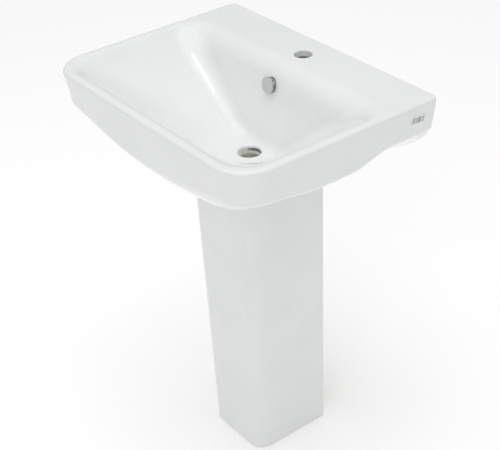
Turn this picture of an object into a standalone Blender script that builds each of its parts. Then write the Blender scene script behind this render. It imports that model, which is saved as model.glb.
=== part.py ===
"""Pedestal washbasin: a vitreous china basin that stands on a hollow china pedestal.

Metres, +Z up, the front towards -Y and the wall side towards +Y. The origin is on the floor, under the
centre of the basin's rim. Both castings are lofted from rounded outlines, then hollowed and bored.
"""

import math

import bmesh
import bpy
from mathutils import Matrix, Vector

# Basin, outside
WIDTH = 0.600
DEPTH = 0.440
RIM_HEIGHT = 0.830
FRONT_CORNER = 0.0715
BACK_CORNER = 0.008
RIM_ROUND = 0.007
APRON_DRAFT = math.radians(7.1)
EDGE_ROLL = 0.014
CORNER_APRON = 0.0625
SIDE_APRON = 0.077
REAR_APRON = 0.0585
FRONT_APRON = 0.0915
STEP_FROM_WALL = 0.1445
STEP_LENGTH = 0.095
CORNER_RISE_START = 0.045
CORNER_RISE_LENGTH = 0.150
CROWN_WIDTH = 0.428
REAR_BULGE = 1.39
SIDE_BULGE = 0.975
FRONT_BULGE = 1.38
FRONT_BULGE_LENGTH = 0.060
BULGE_FROM_WALL = 0.040
BULGE_LENGTH = 0.086
EDGE_TURN = math.radians(60)
SEAT_CHINA = 0.0185
SEAT_SIDE_MARGIN = 0.004
SEAT_FRONT_MARGIN = 0.010
SEAT_CORNER_MARGIN = 0.008

# Bowl
LIP = 0.012
BOWL_DEPTH = 0.158
DECK = 0.090
REAR_EDGE_ROUND = 0.050
SIDE_EDGE_ROUND = 0.025
SIDE_BLEND = 0.100
FRONT_BLEND = 0.090
REAR_BLEND = 0.020
FLOOR_RADIUS = 0.030
FLOOR_BEHIND_WASTE = 0.0195
FLOOR_REAR_RADIUS = 0.024
CORNER_SPREAD = 0.045

# Holes and the overflow duct
WASTE_FROM_WALL = 0.1965
WASTE_BORE = 0.045
WASTE_MOUTH = 0.056
MOUTH_DEPTH = 0.005
TAP_FROM_WALL = 0.058
TAP_BORE = 0.035
OVERFLOW_DEPTH = 0.038
OVERFLOW_BORE = 0.026
DUCT_WIDTH = 0.040
DUCT_GAP = 0.014
DUCT_TOP = 0.013
SLOT_WALL = 0.006
FIXING_SPACING = 0.280
FIXING_DEPTH = 0.070
FIXING_BORE = 0.014

# Overflow cap: a plate held off the wall by a slotted spigot that pushes into the overflow hole
CAP_DIAMETER = 0.033
CAP_THICKNESS = 0.0025
CAP_EDGE = 0.0008
CAP_STAND_OFF = 0.0065
SPIGOT_WALL = 0.0014
SPIGOT_PAST_WALL = 0.002
WINDOW_BORE = 0.0048
WINDOW_PAIRS = 3

# Thickness of the china
WALL = 0.009
DECK_WALL = 0.013
BACK_WALL = 0.012
FLOOR_WALL = 0.011
SEAT_WALL = 0.011
PEDESTAL_WALL = 0.010

# Service opening behind the pedestal, through the belly and the back wall
SERVICE_WIDTH = 0.210
SERVICE_BEHIND_PEDESTAL = 0.004
BACK_FLANGE = 0.105

# Pedestal
FOOT_WIDTH = 0.167
PEDESTAL_DEPTH = 0.180
BEHIND_WASTE = 0.1035
SIDE_TAPER = math.radians(1.13)
FRONT_TAPER = math.radians(0.47)
TOP_CORNER = 0.0317
FOOT_CORNER = 0.031
PEDESTAL_BACK_CORNER = 0.002
LEDGE = 0.022
LEDGE_THICKNESS = 0.012
REAR_RETURN = 0.014
FLOOR_HOLE = 0.009
FLOOR_HOLE_FROM_BACK = 0.030

# Bearing pads and label
PAD_THICKNESS = 0.003
PAD_WIDTH = 0.014
PAD_LENGTH = 0.110
PAD_MARGIN = 0.006
LABEL_LENGTH = 0.034
LABEL_HEIGHT = 0.019
LABEL_THICKNESS = 0.0003
LABEL_FROM_WALL = 0.044
LABEL_DEPTH = 0.031
LABEL_TILT = math.radians(7)

# Clearance between pieces that touch, and how far a cutter runs past what it cuts
GAP = 0.0003
OVERRUN = 0.010

# How finely the outlines are divided
ARC_STEPS = 5
SIDE_STEPS = 11
WIDTH_STEPS = 8
RIM_STEPS = 4
DUCT_STEPS = 6
ROUND_STEPS = 24

HALF_WIDTH = WIDTH / 2
FRONT = -DEPTH / 2
BACK = DEPTH / 2
WASTE_Y = BACK - WASTE_FROM_WALL
SEAT_DEPTH = BOWL_DEPTH + SEAT_CHINA
SEAT_HEIGHT = RIM_HEIGHT - SEAT_DEPTH
PEDESTAL_HEIGHT = SEAT_HEIGHT - PAD_THICKNESS - 2 * GAP
PEDESTAL_BACK = WASTE_Y + BEHIND_WASTE
PEDESTAL_FRONT = PEDESTAL_BACK - PEDESTAL_DEPTH
TOP_HALF_WIDTH = FOOT_WIDTH / 2 + PEDESTAL_HEIGHT * math.tan(SIDE_TAPER)
TOP_FRONT = PEDESTAL_FRONT - PEDESTAL_HEIGHT * math.tan(FRONT_TAPER)
SEAT_HALF_WIDTH = TOP_HALF_WIDTH + SEAT_SIDE_MARGIN
SEAT_FRONT = TOP_FRONT - SEAT_FRONT_MARGIN
SEAT_CORNER = TOP_CORNER + SEAT_CORNER_MARGIN


def clear_scene():
    for thing in list(bpy.data.objects):
        bpy.data.objects.remove(thing)


def mix(a, b, share):
    return a + (b - a) * share


def ease(value, start, end):
    """0 before start, 1 after end, with a smooth rise between."""
    share = min(max((value - start) / (end - start), 0.0), 1.0)
    return share * share * (3 - 2 * share)


# Outlines and lofts


def outline(half_x, front, back, front_radius, back_radius, height):
    """A rounded rectangle's points, counter-clockwise from above. height is a rule of x and y."""
    corners = (
        (half_x - front_radius, front + front_radius, front_radius, -90, SIDE_STEPS),
        (half_x - back_radius, back - back_radius, back_radius, 0, WIDTH_STEPS),
        (back_radius - half_x, back - back_radius, back_radius, 90, SIDE_STEPS),
        (front_radius - half_x, front + front_radius, front_radius, 180, WIDTH_STEPS),
    )
    arcs = []
    for x, y, radius, start, steps in corners:
        turns = [math.radians(start + 90 * step / ARC_STEPS) for step in range(ARC_STEPS + 1)]
        arcs.append(([(x + radius * math.cos(a), y + radius * math.sin(a)) for a in turns], steps))
    points = []
    for index, (arc, steps) in enumerate(arcs):
        points += arc
        last = arc[-1]
        ahead = arcs[(index + 1) % len(arcs)][0][0]
        for step in range(1, steps):
            points.append((mix(last[0], ahead[0], step / steps), mix(last[1], ahead[1], step / steps)))
    return [Vector((x, y, height(x, y))) for x, y in points]


def level(height):
    return lambda x, y: height


def extrude_ring(mesh, verts, points):
    """Extrudes a ring of vertices and moves the new ring to these points."""
    ring = set(verts)
    edges = [edge for vert in verts for edge in vert.link_edges if edge.other_vert(vert) in ring]
    grown = bmesh.ops.extrude_edge_only(mesh, edges=list(dict.fromkeys(edges)))["geom"]
    made = {part for part in grown if isinstance(part, bmesh.types.BMVert)}
    verts = [next(e.other_vert(v) for e in v.link_edges if e.other_vert(v) in made) for v in verts]
    for vert, point in zip(verts, points):
        vert.co = point
    return verts


def loft(name, outlines, as_ring=False):
    """A closed skin through the outlines: capped at both ends, or joined end to end as a ring."""
    mesh = bmesh.new()
    first = [mesh.verts.new(point) for point in outlines[0]]
    for index in range(len(first)):
        mesh.edges.new((first[index - 1], first[index]))
    last = first
    for points in outlines[1:] + (outlines[:1] if as_ring else []):
        last = extrude_ring(mesh, last, points)
    if as_ring:
        bmesh.ops.weld_verts(mesh, targetmap=dict(zip(last, first)))
    else:
        mesh.faces.new(first)
        mesh.faces.new(last)
    bmesh.ops.triangulate(mesh, faces=mesh.faces)
    bmesh.ops.recalc_face_normals(mesh, faces=mesh.faces)
    return finish_mesh(name, mesh)


def finish_mesh(name, mesh):
    data = bpy.data.meshes.new(name)
    mesh.to_mesh(data)
    mesh.free()
    thing = bpy.data.objects.new(name, data)
    bpy.context.scene.collection.objects.link(thing)
    return thing


def cylinder(name, radius, start, end, end_radius=None):
    """A round bar from one point to the other, which narrows to end_radius if that is given."""
    span = Vector(end) - Vector(start)
    mesh = bmesh.new()
    turn = span.to_track_quat("Z", "Y").to_matrix().to_4x4()
    place = Matrix.Translation((Vector(start) + Vector(end)) / 2) @ turn
    bmesh.ops.create_cone(
        mesh,
        cap_ends=True,
        segments=ROUND_STEPS,
        radius1=radius,
        radius2=radius if end_radius is None else end_radius,
        depth=span.length,
        matrix=place,
    )
    return finish_mesh(name, mesh)


def block(name, low, high):
    mesh = bmesh.new()
    bmesh.ops.create_cube(mesh, size=1)
    size = Vector(high) - Vector(low)
    bmesh.ops.scale(mesh, vec=size, verts=mesh.verts)
    bmesh.ops.translate(mesh, vec=(Vector(low) + Vector(high)) / 2, verts=mesh.verts)
    return finish_mesh(name, mesh)


def turned(name, start, along, profile):
    """A solid of revolution: each step of the profile is a radius and a distance along the axis."""
    across = along.orthogonal().normalized()
    turns = [math.tau * step / ROUND_STEPS for step in range(ROUND_STEPS)]
    spokes = [Matrix.Rotation(turn, 3, along) @ across for turn in turns]
    return loft(name, [[start + out * along + radius * spoke for spoke in spokes] for radius, out in profile])


def side_profile(name, points, half_x):
    """A plate whose outline is given in Y and Z, reaching half_x to each side."""
    mesh = bmesh.new()
    verts = [mesh.verts.new((-half_x, y, z)) for y, z in points]
    face = mesh.faces.new(verts)
    grown = bmesh.ops.extrude_face_region(mesh, geom=[face])["geom"]
    moved = [part for part in grown if isinstance(part, bmesh.types.BMVert)]
    bmesh.ops.translate(mesh, vec=(2 * half_x, 0, 0), verts=moved)
    bmesh.ops.recalc_face_normals(mesh, faces=mesh.faces)
    return finish_mesh(name, mesh)


def shape_with(thing, operation, *tools):
    """Adds or cuts away each tool with its own Boolean, and hides the tool."""
    for tool in tools:
        tool.hide_render = True
        tool.display_type = "WIRE"
        tool.parent = thing
        boolean = thing.modifiers.new(tool.name, "BOOLEAN")
        boolean.operation = operation
        boolean.solver = "EXACT"
        boolean.object = tool


def give_material(thing, colour, roughness):
    material = bpy.data.materials.new(thing.name)
    material.use_nodes = True
    shader = material.node_tree.nodes["Principled BSDF"]
    shader.inputs["Base Color"].default_value = (*colour, 1)
    shader.inputs["Roughness"].default_value = roughness
    shader.inputs["Metallic"].default_value = 0
    thing.data.materials.append(material)
    thing.data.shade_smooth()
    thing.data.set_sharp_from_angle(angle=math.radians(35))


# The bowl's walls: round over from the lip, run straight down, then round into the floor


def wall_run(slope, edge_round, blend):
    """How far in the wall reaches by the time that it is at the floor."""
    rounds = edge_round + blend
    straight = (BOWL_DEPTH - rounds * (1 - math.cos(slope))) / math.tan(slope)
    return rounds * math.sin(slope) + straight


def wall_slope(run, edge_round, blend):
    """The slope at which a wall with these rounds reaches the floor in this run."""
    low, high = math.radians(5), math.radians(89)
    for _ in range(50):
        middle = (low + high) / 2
        if wall_run(middle, edge_round, blend) > run:
            low = middle
        else:
            high = middle
    return low


def wall_inset(depth, slope, edge_round, blend):
    """How far in from the lip the wall is at this depth."""
    upper = edge_round * (1 - math.cos(slope))
    lower = BOWL_DEPTH - blend * (1 - math.cos(slope))
    if depth <= upper:
        return math.sqrt(max(2 * edge_round * depth - depth**2, 0))
    if depth <= lower:
        return edge_round * math.sin(slope) + (depth - upper) / math.tan(slope)
    left = BOWL_DEPTH - depth
    return wall_run(slope, edge_round, blend) - math.sqrt(max(2 * blend * left - left**2, 0))


SIDE_LIP = HALF_WIDTH - LIP
FRONT_LIP = FRONT + LIP
REAR_LIP = BACK - DECK
SIDE_SLOPE = wall_slope(SIDE_LIP - FLOOR_RADIUS, SIDE_EDGE_ROUND, SIDE_BLEND)
FRONT_SLOPE = wall_slope(WASTE_Y - FLOOR_RADIUS - FRONT_LIP, SIDE_EDGE_ROUND, FRONT_BLEND)
REAR_SLOPE = wall_slope(REAR_LIP - WASTE_Y - FLOOR_BEHIND_WASTE, REAR_EDGE_ROUND, REAR_BLEND)


def rear_wall(depth):
    """The y of the bowl's rear wall at this depth."""
    return REAR_LIP - wall_inset(depth, REAR_SLOPE, REAR_EDGE_ROUND, REAR_BLEND)


def bowl_outline(share, outward=0.0, down=0.0):
    """The bowl's outline at a share of its depth, moved outward at the rear and down."""
    depth = share * BOWL_DEPTH
    half_x = SIDE_LIP - wall_inset(depth, SIDE_SLOPE, SIDE_EDGE_ROUND, SIDE_BLEND)
    front = FRONT_LIP + wall_inset(depth, FRONT_SLOPE, SIDE_EDGE_ROUND, FRONT_BLEND)
    back = rear_wall(depth) + outward
    spread = CORNER_SPREAD * 4 * share * (1 - share)
    room = min(half_x, (back - front) / 2)
    front_radius = min(mix(FRONT_CORNER - LIP, FLOOR_RADIUS, share) + spread, room)
    back_radius = min(mix(FRONT_CORNER - LIP, FLOOR_REAR_RADIUS, share), room)
    height = level(RIM_HEIGHT - depth - down)
    return outline(half_x, front, back, front_radius, back_radius, height)


# The outside: round over at the rim, drafted apron, rolled lower edge, belly down to the seat


def rear_share(y, from_wall, length):
    """0 in front of a step that is centred this far from the wall, 1 behind it."""
    return ease(y, BACK - from_wall - length / 2, BACK - from_wall + length / 2)


def apron_depth(x, y):
    """How far below the rim the apron's lower edge is: stepped along the sides, lowest mid-front."""
    from_front = y - FRONT
    past_corner = ease(from_front, CORNER_RISE_START, CORNER_RISE_START + CORNER_RISE_LENGTH)
    side = mix(CORNER_APRON, SIDE_APRON, past_corner)
    side = mix(side, REAR_APRON, rear_share(y, STEP_FROM_WALL, STEP_LENGTH))
    crown = max(1 - (2 * x / CROWN_WIDTH) ** 2, 0) * (1 - past_corner)
    return side + (FRONT_APRON - CORNER_APRON) * crown


def outside(inset, height, corner=FRONT_CORNER):
    """The basin's outline moved in at the sides and the front, and flat against the wall."""
    front_radius = corner - inset
    return outline(HALF_WIDTH - inset, FRONT + inset, BACK, front_radius, BACK_CORNER, height)


def rim_outlines():
    turns = [math.radians(90 * step / RIM_STEPS) for step in range(RIM_STEPS + 1)]
    return [
        outside(RIM_ROUND * (1 - math.sin(a)), level(RIM_HEIGHT - RIM_ROUND * (1 - math.cos(a))))
        for a in turns
    ]


def apron_inset(share):
    """How far in the apron's face is, at a share of the way down it."""
    return share * (SIDE_APRON - RIM_ROUND) * math.tan(APRON_DRAFT)


def apron_height(share, lift=0.0):
    """A rule for the height at a share of the way from the rim's round to the apron's lower edge."""
    return lambda x, y: RIM_HEIGHT - RIM_ROUND - share * (apron_depth(x, y) - RIM_ROUND) + lift


def belly_outline(share, inward=0.0, lift=0.0):
    """The belly's outline at a share of the way to the seat: bulged out a little in front, most at the rear."""
    edge_inset = apron_inset(1) + EDGE_ROLL * (1 - math.cos(EDGE_TURN))
    half_x = mix(HALF_WIDTH - edge_inset, SEAT_HALF_WIDTH, share) - inward
    front = mix(FRONT + edge_inset, SEAT_FRONT, share) + inward
    radius = mix(FRONT_CORNER - edge_inset, SEAT_CORNER, share) - inward
    back = BACK - (BACK_WALL if inward else 0)
    spread = CORNER_SPREAD * 4 * share * (1 - share)

    def height(x, y):
        edge = apron_depth(x, y) + EDGE_ROLL * math.sin(EDGE_TURN)
        bulge = mix(FRONT_BULGE, SIDE_BULGE, ease(y, front, front + FRONT_BULGE_LENGTH))
        bulge = mix(bulge, REAR_BULGE, rear_share(y, BULGE_FROM_WALL, BULGE_LENGTH))
        fall = (1 - (1 - share) ** bulge) ** (1 / bulge)
        return RIM_HEIGHT - edge - (SEAT_DEPTH - edge) * fall + lift

    return outline(half_x, front, back, radius + spread, BACK_CORNER, height)


def basin_skin():
    floor_to_lip = [1, 0.985, 0.95, 0.89, 0.8, 0.68, 0.56, 0.44, 0.33, 0.23, 0.15, 0.08, 0.03, 0.008, 0]
    bowl = [bowl_outline(share) for share in floor_to_lip]
    apron = [outside(apron_inset(share), apron_height(share)) for share in (0.5, 1)]
    roll = []
    for turn in (EDGE_TURN / 2, EDGE_TURN):
        inset = apron_inset(1) + EDGE_ROLL * (1 - math.cos(turn))
        roll.append(outside(inset, apron_height(1, -EDGE_ROLL * math.sin(turn))))
    belly = [belly_outline(share) for share in (0.08, 0.2, 0.4, 0.6, 0.8, 1)]
    return loft("basin", bowl + rim_outlines() + apron + roll + belly)


def basin_hollow():
    """The space between the bowl and the outer skin, which the slip drains from."""
    shares = (0.93, 0.8, 0.65, 0.5, 0.35, 0.2, 0.08, 0.03, 0.01)
    inner_foot = [point.copy() for point in bowl_outline(shares[0], WALL, FLOOR_WALL)]
    for point in inner_foot:
        point.z = SEAT_HEIGHT + SEAT_WALL
    under_bowl = [bowl_outline(share, WALL, FLOOR_WALL) for share in shares]
    back = BACK - BACK_WALL
    inside = []
    for share, height in ((0.1, level(RIM_HEIGHT - DECK_WALL)), (0.9, apron_height(0.9))):
        inset = WALL + apron_inset(share)
        radius = FRONT_CORNER - inset
        inside.append(outline(HALF_WIDTH - inset, FRONT + inset, back, radius, BACK_CORNER, height))
    belly = [belly_outline(share, WALL, SEAT_WALL) for share in (0.2, 0.4, 0.6, 0.8, 1)]
    return loft("hollow", [inner_foot] + under_bowl + inside + belly, as_ring=True)


def behind_rear_wall(depth, distance):
    """The y and z of the point this far behind the bowl's rear wall, square to it."""
    fall = 0.0001
    forward = (rear_wall(depth - fall) - rear_wall(depth + fall)) / 2
    length = math.hypot(forward, fall)
    return rear_wall(depth) + distance * fall / length, RIM_HEIGHT - depth - distance * forward / length


def duct_profile(near, far, top, slot_wall):
    """The side view of a body behind the bowl's rear wall that turns under the floor to the waste hole."""
    straight_end = BOWL_DEPTH - REAR_BLEND * (1 - math.cos(REAR_SLOPE))
    blend_middle = BOWL_DEPTH - REAR_BLEND * (1 - math.cos(REAR_SLOPE / 2))
    depths = [mix(top, straight_end, step / DUCT_STEPS) for step in range(DUCT_STEPS + 1)]
    front = [behind_rear_wall(depth, near) for depth in depths + [blend_middle]]
    rear = [behind_rear_wall(depth, far) for depth in reversed(depths)]
    slot_roof = RIM_HEIGHT - BOWL_DEPTH - slot_wall
    foot = SEAT_HEIGHT + slot_wall
    slot = [(WASTE_Y + FLOOR_BEHIND_WASTE, slot_roof), (WASTE_Y, slot_roof), (WASTE_Y, foot), (rear[0][0], foot)]
    return front + slot + rear


OVERFLOW_AT = Vector((0, rear_wall(OVERFLOW_DEPTH), RIM_HEIGHT - OVERFLOW_DEPTH))
OUT_OF_WALL = Vector((0, -math.sin(REAR_SLOPE), math.cos(REAR_SLOPE)))


def basin():
    thing = basin_skin()
    waste_floor = RIM_HEIGHT - BOWL_DEPTH
    shape_with(thing, "DIFFERENCE", basin_hollow())
    duct_block = duct_profile(WALL / 2, 2 * WALL + DUCT_GAP, DUCT_TOP - WALL, SLOT_WALL / 2)
    shape_with(thing, "UNION", side_profile("duct_block", duct_block, DUCT_WIDTH / 2 + WALL))
    duct = duct_profile(WALL, WALL + DUCT_GAP, DUCT_TOP, SLOT_WALL)
    into_duct = OVERFLOW_AT - (WALL + DUCT_GAP / 2) * OUT_OF_WALL
    out_of_bowl = OVERFLOW_AT + 2 * OVERRUN * OUT_OF_WALL
    waste = Vector((0, WASTE_Y, waste_floor))
    tap = Vector((0, BACK - TAP_FROM_WALL, RIM_HEIGHT))
    up = Vector((0, 0, OVERRUN))
    mouth = Vector((0, 0, MOUTH_DEPTH))
    bores = [
        side_profile("duct", duct, DUCT_WIDTH / 2),
        cylinder("overflow_bore", OVERFLOW_BORE / 2, into_duct, out_of_bowl),
        cylinder("waste_bore", WASTE_BORE / 2, waste - up - Vector((0, 0, SEAT_CHINA)), waste + up),
        cylinder("waste_mouth", WASTE_BORE / 2, waste - mouth, waste + mouth / 10, WASTE_MOUTH / 2),
        cylinder("tap_bore", TAP_BORE / 2, tap - up - Vector((0, 0, 2 * DECK_WALL)), tap + up),
        block(
            "service_opening",
            (-SERVICE_WIDTH / 2, PEDESTAL_BACK + SERVICE_BEHIND_PEDESTAL, SEAT_HEIGHT - OVERRUN),
            (SERVICE_WIDTH / 2, BACK + OVERRUN, RIM_HEIGHT - BACK_FLANGE),
        ),
    ]
    for side, name in ((-1, "left"), (1, "right")):
        at = Vector((side * FIXING_SPACING / 2, BACK, RIM_HEIGHT - FIXING_DEPTH))
        through = Vector((0, OVERRUN, 0))
        start = at - through - Vector((0, BACK_WALL, 0))
        bores.append(cylinder(f"fixing_bore_{name}", FIXING_BORE / 2, start, at + through))
    shape_with(thing, "DIFFERENCE", *bores)
    give_material(thing, (0.80, 0.82, 0.81), 0.12)


def overflow_cap():
    """A chromed cap over the overflow hole. Water passes behind its plate and through the windows."""
    plate = CAP_DIAMETER / 2
    spigot = OVERFLOW_BORE / 2 - GAP
    front = CAP_STAND_OFF + CAP_THICKNESS
    inner_end = -WALL - SPIGOT_PAST_WALL
    profile = [
        (plate - CAP_EDGE, front),
        (plate, front - CAP_EDGE),
        (plate, CAP_STAND_OFF),
        (spigot, CAP_STAND_OFF),
        (spigot, inner_end),
    ]
    thing = turned("overflow_cap", OVERFLOW_AT, OUT_OF_WALL, profile)
    inside = [(spigot - SPIGOT_WALL, out) for out in (CAP_STAND_OFF, inner_end - OVERRUN)]
    cuts = [turned("cap_bore", OVERFLOW_AT, OUT_OF_WALL, inside)]
    middle = OVERFLOW_AT + (CAP_STAND_OFF - WINDOW_BORE / 2 - SPIGOT_WALL / 2) * OUT_OF_WALL
    for pair in range(WINDOW_PAIRS):
        turn = Matrix.Rotation(math.pi * pair / WINDOW_PAIRS, 3, OUT_OF_WALL)
        reach = turn @ Vector((plate, 0, 0))
        cuts.append(cylinder(f"cap_window_{pair + 1}", WINDOW_BORE / 2, middle - reach, middle + reach))
    shape_with(thing, "DIFFERENCE", *cuts)
    give_material(thing, (0.75, 0.76, 0.77), 0.15)


# The pedestal


def pedestal_outline(inset, height, back_inset=0.0):
    share = height / PEDESTAL_HEIGHT
    half_x = FOOT_WIDTH / 2 + height * math.tan(SIDE_TAPER) - inset
    radius = max(mix(FOOT_CORNER, TOP_CORNER, share) - inset, PEDESTAL_BACK_CORNER)
    front = PEDESTAL_FRONT - height * math.tan(FRONT_TAPER) + inset
    back = PEDESTAL_BACK - back_inset
    return outline(half_x, front, back, radius, PEDESTAL_BACK_CORNER, level(height))


def pedestal():
    thing = loft("pedestal", [pedestal_outline(0, 0), pedestal_outline(0, PEDESTAL_HEIGHT)])
    low = LEDGE_THICKNESS
    high = PEDESTAL_HEIGHT - LEDGE_THICKNESS
    chamber = [pedestal_outline(PEDESTAL_WALL, z, PEDESTAL_WALL) for z in (low, high)]
    ends = (-OVERRUN, PEDESTAL_HEIGHT + OVERRUN)
    passage = [pedestal_outline(PEDESTAL_WALL + LEDGE, z, -OVERRUN) for z in ends]
    half_slot = FOOT_WIDTH / 2 - PEDESTAL_WALL - REAR_RETURN
    middle = (PEDESTAL_FRONT + PEDESTAL_BACK) / 2
    cuts = [
        loft("chamber", chamber),
        loft("passage", passage),
        block("rear_slot", (-half_slot, middle, low), (half_slot, PEDESTAL_BACK + OVERRUN, high)),
    ]
    hole_x = FOOT_WIDTH / 2 - PEDESTAL_WALL - LEDGE / 2
    hole_y = PEDESTAL_BACK - FLOOR_HOLE_FROM_BACK
    for side, name in ((-1, "left"), (1, "right")):
        start = (side * hole_x, hole_y, -OVERRUN)
        end = (side * hole_x, hole_y, LEDGE_THICKNESS + OVERRUN)
        cuts.append(cylinder(f"floor_hole_{name}", FLOOR_HOLE / 2, start, end))
    shape_with(thing, "DIFFERENCE", *cuts)
    give_material(thing, (0.79, 0.81, 0.80), 0.12)


def bearing_pads():
    """Self-adhesive rubber strips on the pedestal's top ledge."""
    middle = (PEDESTAL_FRONT + PEDESTAL_BACK) / 2
    outer = TOP_HALF_WIDTH - PAD_MARGIN
    for side, name in ((-1, "left"), (1, "right")):
        edges = sorted((side * outer, side * (outer - PAD_WIDTH)))
        low = (edges[0], middle - PAD_LENGTH / 2, PEDESTAL_HEIGHT + GAP)
        high = (edges[1], middle + PAD_LENGTH / 2, PEDESTAL_HEIGHT + GAP + PAD_THICKNESS)
        pad = block(f"bearing_pad_{name}", low, high)
        give_material(pad, (0.03, 0.03, 0.03), 0.8)


def barcode_label():
    """A paper label on the right side of the apron, near the wall."""
    thing = block(
        "barcode_label",
        (-LABEL_THICKNESS / 2, -LABEL_LENGTH / 2, -LABEL_HEIGHT / 2),
        (LABEL_THICKNESS / 2, LABEL_LENGTH / 2, LABEL_HEIGHT / 2),
    )
    y = BACK - LABEL_FROM_WALL
    face_height = apron_depth(HALF_WIDTH, y) - RIM_ROUND
    draft = math.atan(apron_inset(1) / face_height)
    face_x = HALF_WIDTH - apron_inset((LABEL_DEPTH - RIM_ROUND) / face_height)
    stand_off = (GAP + LABEL_THICKNESS / 2) / math.cos(draft)
    thing.location = (face_x + stand_off, y, RIM_HEIGHT - LABEL_DEPTH)
    thing.rotation_euler = (-LABEL_TILT, draft, 0)
    give_material(thing, (0.85, 0.85, 0.83), 0.6)


clear_scene()
basin()
overflow_cap()
pedestal()
bearing_pads()
barcode_label()
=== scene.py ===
"""A pedestal washbasin: a vitreous china basin on a hollow china pedestal, bare of its tap and waste.

Metres, +Z up, the front towards -Y and the wall side towards +Y. The origin is on the floor, under the
centre of the basin's rim. The pieces follow one another as they are put up: the pedestal, its pads, the
basin, its overflow cap, and the label on the basin.
"""

import math

import bmesh
import bpy
from mathutils import Matrix, Vector
from mathutils.bvhtree import BVHTree


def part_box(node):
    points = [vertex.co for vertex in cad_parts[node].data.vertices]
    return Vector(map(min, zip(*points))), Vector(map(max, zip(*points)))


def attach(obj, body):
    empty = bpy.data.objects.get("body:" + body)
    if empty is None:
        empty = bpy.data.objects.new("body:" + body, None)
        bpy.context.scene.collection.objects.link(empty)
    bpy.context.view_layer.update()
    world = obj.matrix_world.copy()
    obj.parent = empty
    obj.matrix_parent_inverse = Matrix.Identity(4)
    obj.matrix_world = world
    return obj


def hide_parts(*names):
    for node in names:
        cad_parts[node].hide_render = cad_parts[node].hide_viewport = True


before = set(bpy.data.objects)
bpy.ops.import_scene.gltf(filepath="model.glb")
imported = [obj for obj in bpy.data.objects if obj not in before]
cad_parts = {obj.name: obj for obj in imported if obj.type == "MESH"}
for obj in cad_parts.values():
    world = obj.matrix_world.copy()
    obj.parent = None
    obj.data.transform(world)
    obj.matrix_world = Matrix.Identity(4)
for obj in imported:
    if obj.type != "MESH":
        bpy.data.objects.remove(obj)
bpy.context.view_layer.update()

# The pedestal. A slip-cast column of vitreous china, open at the back for the pipes, with a ledge turned
# in at the top for the basin to sit on and another at the foot with two screw holes. It is glazed all
# over except the foot, which stands on the kiln shelf, and the inside.

PEDESTAL_HEIGHT = 0.6499
FOOT_WIDTH = 0.167
PEDESTAL_FRONT = -0.053
PEDESTAL_BACK = 0.127
SIDE_TAPER = math.radians(1.13)
FRONT_TAPER = math.radians(0.47)
TOP_CORNER = 0.0317
FOOT_CORNER = 0.031
BACK_CORNER_ROUND = 0.003
EDGE_ROUND = 0.0025
PEDESTAL_WALL = 0.010
LEDGE = 0.022
LEDGE_THICKNESS = 0.012
REAR_RETURN = 0.014
FLOOR_HOLE = 0.009
FLOOR_HOLE_FROM_BACK = 0.030
OVERRUN = 0.010
PEDESTAL_STEPS = (10, 12, 8)
PEDESTAL_LEVELS = 16
ROUND_STEPS = 5
BAR_SIDES = 48
SHARP_ANGLE = math.radians(40)


def mix(a, b, share):
    return a + (b - a) * share


def level(height):
    return lambda x, y: height


def outline(half_x, front, back, front_radius, back_radius, height, steps):
    """A rounded rectangle's points, counter-clockwise from above. height is a rule of x and y."""
    arc_steps, side_steps, width_steps = steps
    corners = (
        (half_x - front_radius, front + front_radius, front_radius, -90, side_steps),
        (half_x - back_radius, back - back_radius, back_radius, 0, width_steps),
        (back_radius - half_x, back - back_radius, back_radius, 90, side_steps),
        (front_radius - half_x, front + front_radius, front_radius, 180, width_steps),
    )
    arcs = []
    for x, y, radius, start, straight in corners:
        turns = [math.radians(start + 90 * step / arc_steps) for step in range(arc_steps + 1)]
        arcs.append(([(x + radius * math.cos(a), y + radius * math.sin(a)) for a in turns], straight))
    points = []
    for index, (arc, straight) in enumerate(arcs):
        points += arc
        last, ahead = arc[-1], arcs[(index + 1) % len(arcs)][0][0]
        for step in range(1, straight):
            share = step / straight
            points.append((mix(last[0], ahead[0], share), mix(last[1], ahead[1], share)))
    return [Vector((x, y, height(x, y))) for x, y in points]


def extrude_ring(mesh, verts, points):
    """Extrudes a ring of vertices and moves the new ring to these points."""
    ring = set(verts)
    edges = [edge for vert in verts for edge in vert.link_edges if edge.other_vert(vert) in ring]
    grown = bmesh.ops.extrude_edge_only(mesh, edges=list(dict.fromkeys(edges)))["geom"]
    made = {part for part in grown if isinstance(part, bmesh.types.BMVert)}
    verts = [next(e.other_vert(v) for e in v.link_edges if e.other_vert(v) in made) for v in verts]
    for vert, point in zip(verts, points):
        vert.co = point
    return verts


def loft(outlines, as_ring=False):
    """A closed skin through the outlines: capped at both ends, or joined end to end as a ring."""
    mesh = bmesh.new()
    first = bmesh.ops.create_circle(mesh, segments=len(outlines[0]), radius=1)["verts"]
    for vert, point in zip(first, outlines[0]):
        vert.co = point
    last = first
    for points in outlines[1:] + (outlines[:1] if as_ring else []):
        last = extrude_ring(mesh, last, points)
    if as_ring:
        bmesh.ops.weld_verts(mesh, targetmap=dict(zip(last, first)))
    else:
        mesh.faces.new(first)
        mesh.faces.new(last)
    bmesh.ops.recalc_face_normals(mesh, faces=mesh.faces)
    return mesh


def block(low, high):
    mesh = bmesh.new()
    bmesh.ops.create_cube(mesh, size=1)
    bmesh.ops.scale(mesh, vec=Vector(high) - Vector(low), verts=mesh.verts)
    bmesh.ops.translate(mesh, vec=(Vector(low) + Vector(high)) / 2, verts=mesh.verts)
    return mesh


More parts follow.
